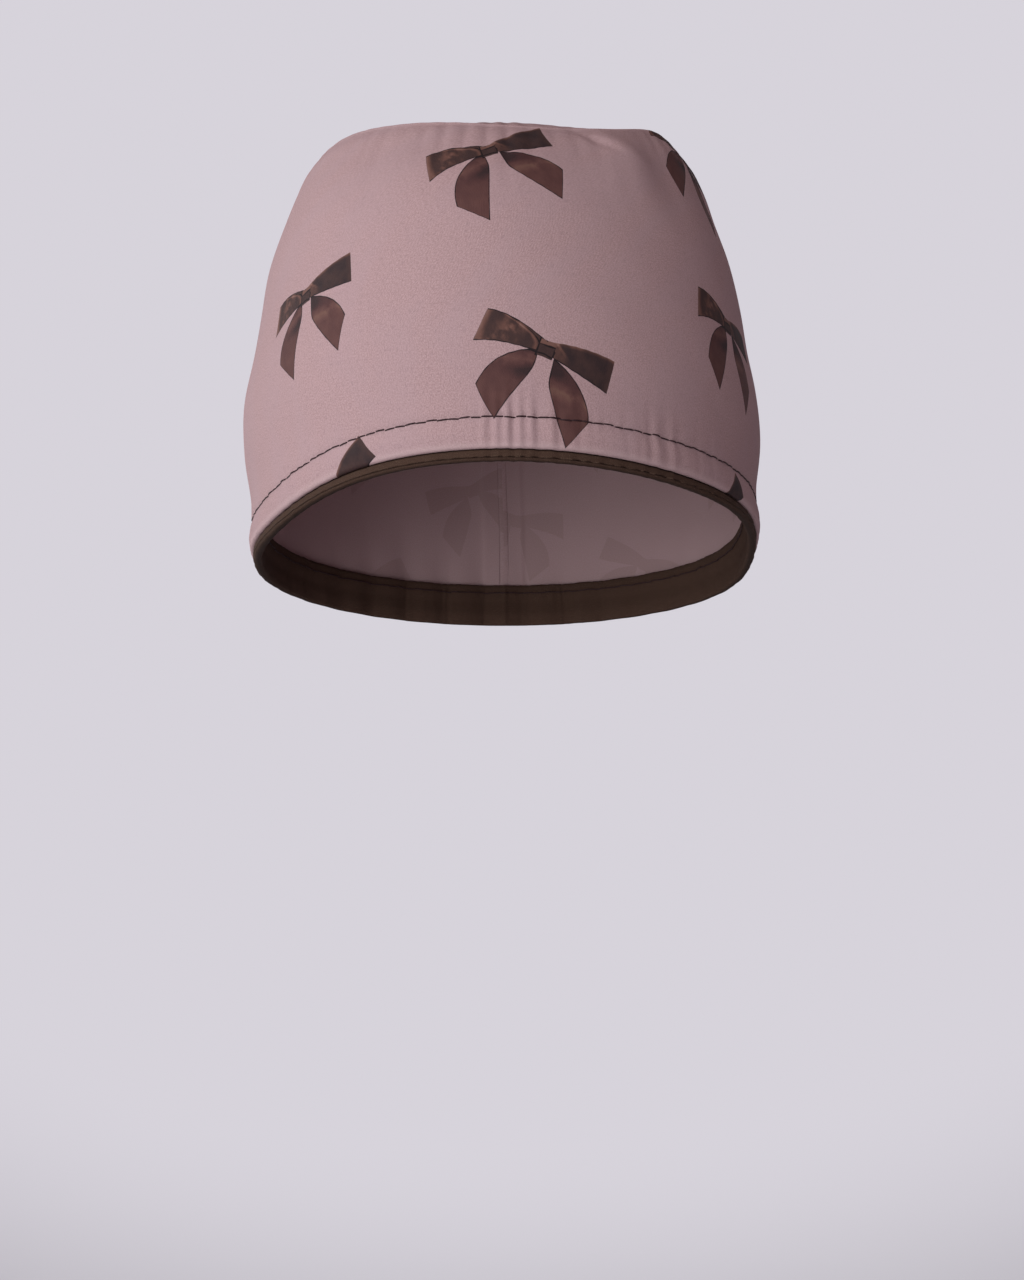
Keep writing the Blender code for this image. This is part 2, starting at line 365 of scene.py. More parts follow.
def oval_depth(theta, front, back, widest):
    """Y and reach on an oval made of a front and a back half, widest behind the middle."""
    reach = np.where(np.cos(theta) > 0, front + widest, back - widest)
    return widest - reach * np.cos(theta), reach


def wave_lift(theta, waves, largest):
    """The sum of an edge's waves at each angle."""
    return largest * sum(w.lift * hump(theta, w.angle, w.width) for w in waves)


def rim_level(theta):
    """Height of the hem's edge: a slope from front to back, and its waves."""
    depth, _ = oval_depth(theta, RIM_FRONT, RIM_BACK, RIM_WIDEST)
    return wave_lift(theta, RIM_WAVES, RIM_WAVE) - RIM_FALL / (RIM_FRONT + RIM_BACK) * depth


def band_height(theta):
    """Height of the band from the hem's edge to the top seam."""
    return TOP_HEIGHT + wave_lift(theta, SEAM_WAVES, SEAM_WAVE) - rim_level(theta)


def fold_relief(theta, rise):
    """The sum of the soft folds, each a hump or valley along its own slanting line."""
    relief = 0.0
    for fold in FOLDS:
        along = (rise - fold.middle) / fold.reach
        across = degrees_between(theta, fold.angle) + fold.slant * along
        relief = relief + fold.depth * bell(across, fold.width) * bell(along, 1.0)
    return FOLD_DEPTH * relief


def gather_relief(theta, below_seam):
    """Fine pleats of the eased top edge: sharp valleys between round ridges, of uneven length and
    depth, fullest left of the front and at the back."""
    front = hump(theta, -10.0, 16.0)
    wander = (1 - front) * (0.9 * np.sin(5 * theta + 1.0) + 0.6 * np.sin(13 * theta + 2.0))
    pleat = 1.0 - 2.0 * np.abs(np.cos(GATHERS / 2 * (theta + math.radians(3.0)) + wander)) ** 3
    fullness = 0.40 + 0.85 * front + 0.5 * hump(theta, 180.0, 60.0)
    fullness = fullness + 0.18 * np.sin(7 * theta + 0.6) + 0.14 * np.sin(17 * theta)
    length = GATHER_FALL + 0.0028 * np.sin(11 * theta + 2.0) + 0.0022 * np.sin(19 * theta)
    held = 1.0 - 0.6 * bell(below_seam, SEAM_HOLD)
    return GATHER_DEPTH * fullness * pleat * held * bell(below_seam, length)


def nape_relief(theta, height):
    """Broad pleats of the hem behind the head, where the cap draws in."""
    behind = hump(theta, 180.0, 55.0)
    low = bell(np.maximum(height, 0.0), NAPE_GATHER_RISE)
    return NAPE_GATHER_DEPTH * behind * low * np.cos(NAPE_GATHERS * theta)


def pucker_relief(theta, height):
    """Small upright puckers that the topstitching draws into the hem: fine and broad ripples and
    one to each stitch, in three patches and faintly between them."""
    front = 0.9 * hump(theta, 4.0, 8.0)
    right = 0.8 * hump(theta, 29.0, 6.0)
    left = 0.8 * hump(theta, -52.0, 12.0)
    patch = 0.30 + front + right + left + 0.25 * np.sin(9 * theta + 1.3)
    fine = np.sin(FINE_PUCKERS * theta + 2.2 * np.sin(17 * theta))
    broad = 0.8 * np.sin(BROAD_PUCKERS * theta + 2.0)
    ripple = fine + broad + 0.5 * np.sin(STITCHES * theta)
    return PUCKER_DEPTH * patch * ripple * bell(height - 0.75 * STITCH_HEIGHT, PUCKER_REACH)


def stitch_relief(theta, height):
    """The hem's puff below the topstitching, less the groove under it, which is deepest at each
    needle hole."""
    hole = 0.75 + 0.25 * np.cos(STITCHES * theta)
    nip = STITCH_NIP * hole * bell(height - STITCH_HEIGHT, GROOVE_WIDTH)
    puff = HEM_PUFF * np.sin(math.pi * np.clip(height / STITCH_HEIGHT, 0.0, 1.0)) ** 2
    return puff - nip


def slack_relief(theta, rise):
    """The slow unevenness of soft cloth that nothing presses flat: two products of long waves,
    strongest half way up."""
    slow = np.sin(3 * theta + 9 * rise) * np.sin(5 * theta - 6 * rise + 1.0)
    quick = np.sin(11 * theta + 14 * rise + 2.0) * np.sin(8 * rise + 4 * theta)
    middle = bell(rise - 0.5, 0.42)
    return middle * (SLACK_DEPTH * slow + SLACK_RIPPLE * quick)


def band_surface(theta, height):
    """Outer face of the band at an angle and a height above the hem's edge: an oval drawn in by
    the sections, moved along its own outward direction by the sum of the reliefs."""
    rise = height / band_height(theta)
    half_width = (RIM_WIDTH + (TOP_WIDTH - RIM_WIDTH) * section_share("side", rise)) / 2
    y, reach = oval_depth(
        theta,
        RIM_FRONT + (TOP_FRONT - RIM_FRONT) * section_share("front", rise),
        RIM_BACK + (TOP_BACK - RIM_BACK) * section_share("back", rise),
        RIM_WIDEST * (1 - np.clip(rise, 0.0, 1.0)),
    )
    out_x = np.sin(theta) / half_width
    out_y = -np.cos(theta) / reach
    length = np.hypot(out_x, out_y)
    below_seam = np.maximum(band_height(theta) - height, 0.0)
    relief = fold_relief(theta, rise) + gather_relief(theta, below_seam) + nape_relief(theta, height)
    relief = relief + pucker_relief(theta, height) + stitch_relief(theta, height)
    relief = relief + slack_relief(theta, rise)
    relief = relief - SEAM_GROOVE * hump(theta, 180.0, SEAM_GROOVE_WIDTH)
    x = half_width * np.sin(theta) - LEAN * section_share("lean", rise) + relief * out_x / length
    y = y + relief * out_y / length
    return np.stack([x, y, rim_level(theta) + height], axis=-1)


def band_directions(theta, height, step):
    """Unit vectors up the cloth and out of it, from steps of some radians to either side and of a
    tenth as many metres up and down. Long steps pass over the fine reliefs."""
    around = band_surface(theta + step, height) - band_surface(theta - step, height)
    up = band_surface(theta, height + 0.1 * step) - band_surface(theta, height - 0.1 * step)
    out = np.cross(around, up)
    up = up / np.linalg.norm(up, axis=-1, keepdims=True)
    return up, out / np.linalg.norm(out, axis=-1, keepdims=True)


def band_point(theta, height, depth, step):
    """A point at some depth behind the band's outer face."""
    _, out = band_directions(theta, height, step)
    return band_surface(theta, height) - out * np.asarray(depth)[..., None]


def band_turn(columns):
    """Angles from the centre back round to it again, closest together at the front and back."""
    even = np.linspace(-math.pi, math.pi, columns + 1)
    return even - 0.27 * np.sin(2 * even)


def band_profile():
    """The strip's outline from the hem's edge up the outer face, over the top and down the inner
    face to the hem again. Each ring has a height above the hem's edge, a share of the rest of the
    way to the seam, a depth behind the outer face, and 1 on the outer face or 0 on the inner."""
    low_turn = np.linspace(-math.pi / 2, 0.0, 6)[:-1]
    hem = np.concatenate([np.linspace(CLOTH, 0.0078, 9), np.linspace(0.0081, HEM_DEPTH, 5)])
    face = np.concatenate([
        [0.0025, 0.005, 0.008, 0.012, 0.018],
        np.linspace(0.026, 0.80, 70),
        np.linspace(0.80, 1.0, 32)[1:-1],
    ])
    rings = [(CLOTH + CLOTH * math.sin(a), 0.0, CLOTH - CLOTH * math.cos(a), 1.0) for a in low_turn]
    rings += [(height, 0.0, 0.0, 1.0) for height in hem]
    rings += [(HEM_DEPTH, share, 0.0, 1.0) for share in face]
    for a in np.linspace(0.0, math.pi, 7):
        outer = 1.0 if a < 2 else 0.0
        rings.append((HEM_DEPTH + TOP_ROLL * math.sin(a), 1.0, CLOTH * (1 - math.cos(a)) * 0.7, outer))
    rings += [(HEM_DEPTH, share, CLOTH, 0.0) for share in np.linspace(0.985, 0.02, 44)]
    rings += [
        (HEM_DEPTH + CLOTH, 0.0, CLOTH, 0.0),
        (HEM_DEPTH + 0.3 * CLOTH, 0.0, 1.7 * CLOTH, 0.0),
        (HEM_DEPTH - CLOTH, 0.0, 2 * CLOTH, 0.0),
        (HEM_DEPTH / 2, 0.0, 2 * CLOTH, 0.0),
    ]
    high_turn = np.linspace(0.0, math.pi / 2, 4)[:-1]
    rings += [(CLOTH - CLOTH * math.sin(a), 0.0, CLOTH + CLOTH * math.cos(a), 0.0) for a in high_turn]
    return np.array(rings)


ALLOWANCE = 0.0085  # from each seam to the raw edge
RAW_EDGE = 0.0004  # how far the raw edge takes to thin out
GATHERED_LAYERS = 0.0010
FLAT_LAYERS = 0.0007
SEAM_LINE = 0.0004  # half the groove between the two flat strips
NAPE_RADIUS = 0.09  # turns degrees beside the centre back seam into metres


def allowance_share(distance):
    """1 beside a seam and 0 past its raw edge, on an S-shaped curve."""
    return 1 / (1 + np.exp((distance - ALLOWANCE) / RAW_EDGE))


def seam_allowance(theta, height, depth):
    """Extra depth of the raw edges inside: a gathered strip under the crown seam and two flat
    strips beside the centre back seam."""
    below_seam = band_height(theta) - height
    top = GATHERED_LAYERS * allowance_share(below_seam)
    top = top * (1.0 + 0.25 * np.cos(GATHERS * theta + 2.0)) * (below_seam > CLOTH)
    from_seam = np.abs(degrees_between(theta, 180.0)) * math.pi / 180.0 * NAPE_RADIUS
    back = FLAT_LAYERS * allowance_share(from_seam) * (from_seam > SEAM_LINE)
    return np.where(depth > 0.9 * CLOTH, np.maximum(top, back), 0.0)


def lengths_along(points, axis):
    """Length run along a grid of points in one direction, from its first row or column."""
    step = np.linalg.norm(np.diff(points, axis=axis), axis=-1)
    zero = np.zeros_like(np.take(step, [0], axis=axis))
    return np.concatenate([zero, np.cumsum(step, axis=axis)], axis=axis)


class Bow(NamedTuple):
    """A printed bow: the angle round the cap and the height up the cloth, in millimetres above
    the middle of the opening, of its knot, and how far it is tilted to its left, in degrees."""

    angle: float
    level: float
    tilt: float


BOWS = (
    Bow(-2.7, 109.1, 25.0),
    Bow(8.1, 48.3, -17.0),
    Bow(-43.6, 69.3, 19.0),
    Bow(54.9, 63.7, -9.0),
    Bow(59.2, 120.6, -18.0),
    Bow(-35.2, 10.2, 48.0),
    Bow(48.4, 5.0, 42.0),
    Bow(104.0, 36.0, 20.0),
    Bow(113.0, 98.0, 14.0),
    Bow(150.0, 62.0, -16.0),
    Bow(140.0, 0.0, 24.0),
    Bow(169.0, 112.0, -22.0),
    Bow(176.0, 18.0, 12.0),
    Bow(-90.0, 22.0, 20.0),
    Bow(-96.0, 88.0, -24.0),
    Bow(-135.0, 50.0, 15.0),
    Bow(-141.0, -8.0, -18.0),
    Bow(-150.0, 106.0, 21.0),
    Bow(-172.0, 30.0, -14.0),
)


EASE = 0.16  # how much the print is drawn together round the cap at the top seam
EASE_FALL = 0.010
LEAN_BACK = 0.08  # how much it is drawn out up the cloth there
LEAN_BACK_FALL = 0.030
RUNGS = 240


def nearest_bow(across, up, tilts):
    """Each corner's place from the knot of the bow that is nearest to its face, in millimetres
    across and up that bow, so that one drawing of the bow serves them all. The first two arrays
    hold the distance across and up the cloth from every knot, as (bow, face, corner)."""
    away = across.mean(axis=-1) ** 2 + up.mean(axis=-1) ** 2
    nearest = np.argmin(away, axis=0)
    face = np.arange(len(nearest))
    p, q = across[nearest, face], up[nearest, face]
    tilt = np.radians(np.asarray(tilts))[nearest][:, None]
    x = p * np.cos(tilt) + q * np.sin(tilt)
    y = q * np.cos(tilt) - p * np.sin(tilt)
    return np.stack([x, y], axis=-1)


def corner_attribute(mesh, name, values):
    """A vector at each face corner."""
    made = mesh.attributes.new(name, "FLOAT_VECTOR", "CORNER")
    made.data.foreach_set("vector", np.ascontiguousarray(values, np.float32).ravel())


def corner_numbers(rows, columns):
    """The row and the column of each face corner of a grid that is round both ways. Past the last
    one the count goes on and doesn't start again."""
    row = np.repeat(np.arange(rows), columns)[:, None] + np.array([0, 0, 1, 1])
    column = np.tile(np.arange(columns), rows)[:, None] + np.array([0, 1, 1, 0])
    return row, column


def length_up_cloth(theta, height):
    """Length up the outer face from the hem's edge, in straight lines between even rungs."""
    rungs = np.linspace(0.0, 1.0, RUNGS)[:, None] * band_height(theta)
    length = lengths_along(band_surface(theta, rungs), 0)
    place = height / band_height(theta) * (RUNGS - 1)
    under = np.clip(np.floor(place).astype(int), 0, RUNGS - 2)
    past = place - under
    column = np.arange(theta.size)[None, :]
    return length[under, column] * (1 - past) + length[under + 1, column] * past


def side_band_mesh():
    """The band's profile carried all the way round. Each corner stores its place in its bow with
    1 on the outer face, and its place on the threads with its height above the edge."""
    profile = band_profile()
    theta = band_turn(BAND_COLUMNS)[None, :]
    low, share, depth, outer = (profile[:, i, None] for i in range(4))
    height = low + share * (band_height(theta) - HEM_DEPTH)
    depth = depth + seam_allowance(theta, height, depth)
    broad = band_point(theta, height, depth, BROAD_STEP)
    fine = band_point(theta, height, depth, FINE_STEP)
    points = np.where((share == 0.0)[..., None], broad, fine)
    faces = grid_faces(len(profile), BAND_COLUMNS, round_rows=True, round_columns=True)
    mesh = surface_mesh("side_band_cloth", points[:, :-1].reshape(-1, 3), faces)

    row, column = corner_numbers(len(profile), BAND_COLUMNS)
    corner = (row % len(profile), column)
    along = lengths_along(band_surface(theta, height), 1)
    level = rim_level(theta) + length_up_cloth(theta, height)
    knots = np.stack([
        [np.interp(math.radians(bow.angle), theta[0], ring) for ring in along] for bow in BOWS
    ])
    knot_levels = np.array([bow.level for bow in BOWS])[:, None, None] / 1000
    below_seam = band_height(theta) - height
    eased = 1.0 + EASE * bell(below_seam, EASE_FALL)
    drawn_out = 1.0 - LEAN_BACK * bell(below_seam, LEAN_BACK_FALL)
    across = (along[corner] - knots[:, corner[0]]) * eased[corner]
    above = (level[corner] - knot_levels) * drawn_out[corner]
    place = nearest_bow(1000 * across, 1000 * above, [bow.tilt for bow in BOWS])
    outer = outer[corner[0]]
    corner_attribute(mesh, "print_place", np.concatenate([place, outer], axis=-1))
    thread = np.stack([along, level, height], axis=-1)[corner]
    corner_attribute(mesh, "thread_place", 1000 * thread)
    return mesh


class Tone:
    """A number at each point of a surface, as a shader node's output. Sums, products and the
    like of tones are tones too, each one more node."""

    def __init__(self, tree, socket):
        self.tree, self.socket = tree, socket

    def join(self, operation, *others):
        node = self.tree.nodes.new("ShaderNodeMath")
        node.operation = operation
        for place, value in zip(node.inputs, (self, *others)):
            if isinstance(value, Tone):
                self.tree.links.new(value.socket, place)
            else:
                place.default_value = value
        return Tone(self.tree, node.outputs[0])

    def __add__(self, other):
        return self.join("ADD", other)

    def __sub__(self, other):
        return self.join("SUBTRACT", other)

    def __mul__(self, other):
        return self.join("MULTIPLY", other)

    def __truediv__(self, other):
        return self.join("DIVIDE", other)

    def __rsub__(self, other):
        return (self * -1.0) + other

    __radd__, __rmul__ = __add__, __mul__

    def size(self):
        return self.join("ABSOLUTE")

    def least(self, other):
        return self.join("MINIMUM", other)

    def most(self, other):
        return self.join("MAXIMUM", other)

    def power(self, other):
        return self.join("POWER", other)

    def tent(self, width):
        """1 where this tone is 0, falling straight to 0 at the width on either side."""
        return (1.0 - (self / width).size()).most(0.0)

    def fade(self, width):
        """1 where this tone is 0 or less, falling straight to 0 at the width."""
        return (1.0 - self / width).most(0.0).least(1.0)

    def step(self, low, high):
        """0 below low and 1 above high, with a smooth run between."""
        node = self.tree.nodes.new("ShaderNodeMapRange")
        node.interpolation_type = "SMOOTHSTEP"
        self.tree.links.new(self.socket, node.inputs["Value"])
        node.inputs["From Min"].default_value = low
        node.inputs["From Max"].default_value = high
        return Tone(self.tree, node.outputs["Result"])

    def between(self, first, second):
        """first where this tone is 0, second where it is 1."""
        return first + (second - first) * self


def attribute_vector(tree, name):
    """The vector of one of the mesh's own attributes."""
    node = tree.nodes.new("ShaderNodeAttribute")
    node.attribute_name = name
    return node.outputs["Vector"]


def tones_of(tree, vector):
    """The three numbers of a vector."""
    node = tree.nodes.new("ShaderNodeSeparateXYZ")
    tree.links.new(vector, node.inputs[0])
    return [Tone(tree, output) for output in node.outputs]


def stretched(tree, vector, scale, turn=0.0, shift=(0.0, 0.0, 0.0)):
    """A vector scaled along its own three directions, then turned about the third."""
    node = tree.nodes.new("ShaderNodeMapping")
    node.inputs["Scale"].default_value = scale
    node.inputs["Rotation"].default_value = (0.0, 0.0, turn)
    node.inputs["Location"].default_value = shift
    tree.links.new(vector, node.inputs["Vector"])
    return node.outputs["Vector"]


def mottle(tree, vector, detail=2.0, roughness=0.5, solid=False):
    """Cloudy noise from about 0 to 1, with an average of one half, at one cloud to each unit of
    the vector. It is flat, in the vector's first two directions, unless it is asked for solid."""
    node = tree.nodes.new("ShaderNodeTexNoise")
    node.noise_dimensions = "3D" if solid else "2D"
    node.inputs["Scale"].default_value = 1.0
    node.inputs["Detail"].default_value = detail
    node.inputs["Roughness"].default_value = roughness
    tree.links.new(vector, node.inputs["Vector"])
    return Tone(tree, node.outputs["Fac"])


def mixed(tree, share, first, second):
    """One colour or the other by a tone. A colour is a tuple or a colour output."""
    node = tree.nodes.new("ShaderNodeMix")
    node.data_type = "RGBA"
    tree.links.new(share.socket, node.inputs["Factor"])
    for place, colour in ((node.inputs[6], first), (node.inputs[7], second)):
        if isinstance(colour, tuple):
            place.default_value = (*colour, 1.0)
        else:
            tree.links.new(colour, place)
    return node.outputs[2]


def graded(tree, tone, stops):
    """Colour along a row of stops, each with the tone's value there and its colour."""
    node = tree.nodes.new("ShaderNodeValToRGB")
    for number, (at, colour) in enumerate(stops):
        stop = node.color_ramp.elements[number] if number < 2 else node.color_ramp.elements.new(at)
        stop.position = at
        stop.color = (*colour, 1.0)
    tree.links.new(tone.socket, node.inputs[0])
    return node.outputs["Color"]


def raised(tree, tone, height):
    """A bump of a tone, as deep in metres as height."""
    node = tree.nodes.new("ShaderNodeBump")
    node.inputs["Strength"].default_value = 1.0
    node.inputs["Distance"].default_value = height
    tree.links.new(tone.socket, node.inputs["Height"])
    return node.outputs["Normal"]


CLOTH_COLOUR = (0.500, 0.308, 0.313)
CLOTH_SHADE = (0.380, 0.222, 0.227)
CLOUD_COLOUR = (0.435, 0.275, 0.292)
SLUB_COLOUR = (0.27, 0.165, 0.18)
# Painted highlight along the hem's rolled lower edge
HEM_EDGE_HIGHLIGHT_COLOUR = (0.60, 0.40, 0.40)
# Painted shade in the gaps between the threads
THREAD_GAP_SHADE = (0.05, 0.03, 0.035)
WRONG_SIDE = (0.50, 0.33, 0.335)
COTTON_PITCH = 0.42  # of its threads, in millimetres
COTTON_RELIEF = 0.00007
OUTLINE = (0.010, 0.006, 0.007)
LOOP_TONES = (
    (0.0, (0.034, 0.018, 0.019)),
    (0.35, (0.062, 0.029, 0.026)),
    (0.65, (0.142, 0.060, 0.047)),
    (1.0, (0.242, 0.119, 0.098)),
)
TAIL_TONES = (
    (0.0, (0.038, 0.018, 0.019)),
    (0.35, (0.082, 0.031, 0.030)),
    (0.65, (0.125, 0.050, 0.044)),
    (1.0, (0.20, 0.098, 0.072)),
)

# The bow in millimetres from its knot, for its left half. The right half adds a little to some.
LOOP_NECK = 1.65  # half the loop's width beside the knot
LOOP_LENGTH = 18.45
TAIL_REACH = 16.6  # how far out the tail's outer edge levels off
TAIL_BEND = 5.3  # how far down it takes to
TAIL_NECK = 1.85
TAIL_LENGTH = 21.37
KNOT_SIDE = 2.25  # half the knot's width
KNOT_RISE = 2.35  # half its height


def ribbon_bow(tree, place):
    """One bow of satin ribbon, drawn in millimetres from its knot. Each loop is a ribbon's width
    either side of a bent middle line, cut off straight at its end. Each tail lies between an outer
    edge that levels off and an inner one that curves away, down to a slanting cut. A small knot
    covers where they meet. Gives where the print is, and its colour."""
    x, y, _ = tones_of(tree, place)
    side = x.size()
    drop = y * -1.0
    right = x.step(-0.01, 0.01)
    left = 1.0 - right
    cloud = mottle(tree, stretched(tree, place, (0.17, 0.17, 0.0), 0.4, (2.1, 0.7, 0.0)), 3.0, 0.6)
    blot = mottle(tree, stretched(tree, place, (0.34, 0.22, 0.0), 1.0, (5.3, 1.9, 0.0)), 2.0, 0.55)
    line = mottle(tree, stretched(tree, place, (0.5, 0.5, 0.0), 0.0, (9.1, 4.2, 0.0)), 1.0)

    # Loops
    half = side * 0.24 - side * side * 0.0045 + LOOP_NECK
    bent = right.between(side * 0.2145 - side * side * side * 0.00048, side * side * -0.0036)
    off = y - bent
    above, below = half - off, half + off
    loop_end = right * 0.95 + LOOP_LENGTH - side - left * y * 0.188
    loop = above.least(below).least(loop_end)

    # Tails
    width = right * 2.7 + TAIL_REACH
    rate = right * 1.7 + TAIL_BEND
    fall = ((drop - right).most(0.0) / rate * -1.0).join("EXPONENT")
    lean = fall * width / rate
    outer = (width - fall * width - side) / (lean * lean + 1.0).power(0.5)
    past = drop - 6.2 - right * 2.8
    bow_out = ((past * past + 2.0).power(0.5) + past) * (right * 0.087 + 0.225)
    inner = side - TAIL_NECK - right * 0.7 - bow_out
    cut = right * 0.53 + TAIL_LENGTH - side * (right * 0.101 + 0.783) - drop * (0.622 - right * 0.153)
    tail = outer.least(inner).least(cut).least(drop - 1.2)

    # Knot
    across_knot = x - y * 0.10 - 0.15
    knot = (KNOT_SIDE - across_knot.size()).least(KNOT_RISE - (y + 0.35 + x * 0.06).size())

    loop_on = loop.step(-0.05, 0.05)
    knot_on = knot.step(-0.05, 0.05)
    printed = tail.most(loop).most(knot).step(-0.07, 0.07)

    # Satin light on the loops: a middle patch, the cut ends, a rim, and creases at the knot
    run = (side - 2.2) / 16.0
    patch = (run - 0.55 + off * 0.05).tent(0.32) * cloud.step(0.36, 0.62)
    end_light = loop_end.fade(2.2) * (left * 0.36 + 0.24)
    rim_light = above.fade(1.1) * right * 0.55
    crease = side - 2.0 - y.most(0.0) * y.most(0.0) * 0.33
    pinch = (crease - 1.0).tent(1.0) * left
    slash = (y - 1.8 + (side - 2.9) * 0.825) / 1.3
    streak = slash.tent(0.55) * (side - 2.6).fade(5.0) * right
    tuck = (slash * -1.0).step(0.0, 0.5) * side.fade(7.5) * right
    loop_tone = left * 0.19 + patch * (left * 0.34 + 0.14) + end_light + rim_light + pinch * 0.40
    loop_tone = loop_tone + tuck * 0.75 + streak * 0.8 + (blot - 0.5) * 0.50 + 0.08

    # Satin light on the tails: a shine across each, a shade beside it, and the loop's shadow
    shine_at = right * 5.0 + 5.0 + (side - 6.0) * 0.15
    shine = (drop - shine_at).tent(2.8) * cloud.step(0.28, 0.58)
    shade_at = shine_at + left * 5.5 - 2.5 - right * 2.0
    shade = (drop - shade_at).tent(2.8) * (1.0 - inner / 7.0).most(0.0)
    tail_tone = drop.step(3.0, 16.0) * 0.24 + 0.28 + shine * 0.42 - shade * 0.60 + (blot - 0.5) * 0.30
    tail_tone = tail_tone - (loop + 1.3).most(0.0) * 0.25

    knot_tone = (y - 0.75).step(-0.25, 0.25) * 0.50 + 0.26 + (blot - 0.5) * 0.3
    colour = mixed(tree, loop_on, graded(tree, tail_tone, TAIL_TONES), graded(tree, loop_tone, LOOP_TONES))
    colour = mixed(tree, knot_on, colour, graded(tree, knot_tone, LOOP_TONES))

    # Pen lines round every part, of uneven width
    pen = line * 0.40 + 0.05
    loop_line = (above + right * 9.0).least(below)
    edge = loop_on.between(outer.least(inner).least(cut + 0.12), loop_line)
    fold_line = crease.size() + (y - 3.4).most(0.0) + (-2.3 - y).most(0.0) + right * 9.0
    edge = edge.least(fold_line + 0.04)
    knot_line = across_knot * -1.0 + KNOT_SIDE + (y + 0.2).most(0.0)
    edge = knot_on.between(edge, knot_line.least((y - 0.6).size() + 0.12)) - pen
    open_side = right * (y + 0.5).most(0.0)
    gap = (loop + 0.18 + open_side).size().least((knot + 0.1).size() + open_side)
    inked = 1.0 - edge.least(gap - pen * 0.7).step(-0.06, 0.12)
    return printed, mixed(tree, inked * 0.92, colour, OUTLINE)


def woven(tree, thread, pitch):
    """A plain weave: threads that go over and under each other at one pitch in millimetres, each
    a little thicker or thinner along its run."""
    wobble = mottle(tree, stretched(tree, thread, (0.35, 0.35, 0.0)), 1.0)
    across, up, _ = tones_of(tree, thread)
    turns = 2 * math.pi / pitch
    warp = (across * turns + wobble * 2.5).join("SINE")
    weft = (up * turns + wobble * 2.5).join("SINE")
    return warp * weft * 0.5 + 0.5


def printed_cloth(name):
    """Plain-woven cotton: warm and cool mottling, single darker slubs, painted shade between the
    threads, the weave as a fine bump, a painted highlight along the hem's lower edge, and the bows
    on its outer face. Its inner face is the paler wrong side with a faint ghost."""
    material, tree, shader = new_finish(name)
    place = attribute_vector(tree, "print_place")
    thread = attribute_vector(tree, "thread_place")
    outer = tones_of(tree, place)[2].step(0.4, 0.6)
    printed, bow_colour = ribbon_bow(tree, place)
    grain = mottle(tree, stretched(tree, thread, (2.9, 2.2, 0.0)), 1.5, 0.65)
    cloud = mottle(tree, stretched(tree, thread, (0.06, 0.035, 0.0)), 2.0)
    slub = mottle(tree, stretched(tree, thread, (3.2, 0.5, 0.0)), 0.0)
    weave = woven(tree, thread, COTTON_PITCH)
    ground = mixed(tree, grain.step(0.30, 0.70), CLOTH_SHADE, CLOTH_COLOUR)
    ground = mixed(tree, cloud.step(0.35, 0.70) * 0.35, ground, CLOUD_COLOUR)
    ground = mixed(tree, slub.step(0.66, 0.80) * 0.30, ground, SLUB_COLOUR)
    # Painted highlight: the cloth lighter in the lowest two or three millimetres above the hem's edge
    hem_edge_highlight = tones_of(tree, thread)[2].step(2.6, 0.6)
    ground = mixed(tree, hem_edge_highlight * 0.40, ground, HEM_EDGE_HIGHLIGHT_COLOUR)
    face = mixed(tree, printed, ground, bow_colour)
    back = mixed(tree, grain, WRONG_SIDE, CLOTH_SHADE)
    back = mixed(tree, printed * 0.16, back, LOOP_TONES[2][1])
    colour = mixed(tree, outer, back, face)
    # Painted shade where the weave sinks between its threads
    colour = mixed(tree, (1.0 - weave) * 0.16, colour, THREAD_GAP_SHADE)
    tree.links.new(colour, shader.inputs["Base Color"])
    rough = 0.80 - printed * 0.12 + grain * 0.08
    tree.links.new(rough.socket, shader.inputs["Roughness"])
    shader.inputs["Specular IOR Level"].default_value = 0.14
    tree.links.new(raised(tree, weave * 0.6 + grain * 0.8, COTTON_RELIEF), shader.inputs["Normal"])
    return material


printed_cotton = printed_cloth("printed_cotton")
side_band = new_object(side_band_mesh(), printed_cotton)
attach(side_band, "root")
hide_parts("side_band")

# Crown top
# An oval of the same cotton, laid over the head and eased into the band's top edge. Its seam
# allowance is turned inside, so its edge rolls down to meet the band.
CROWN_RISE = 0.007  # from the seam to the middle of the dome
CROWN_REACH = 0.0658  # the run of the rings from the seam to the middle
CROWN_COLUMNS = 480
CROWN_SLACK = 0.0004
EDGE_ROLL = 0.0007  # height of the rolled edge
EDGE_WIDTH = 0.0016
SEAM_INSET = 0.0011
SEAM_SINK = 0.0007
FAR_FROM_HEM = 99.0  # millimetres, so that the painted highlight of the hem's lower edge doesn't fall here

# Each bow's knot, in millimetres to +X and +Y, and its tilt in degrees
CROWN_BOWS = np.array([
    (-22.0, -26.0, 35.0),
    (30.0, 2.0, -20.0),
    (-14.0, 36.0, 10.0),
])


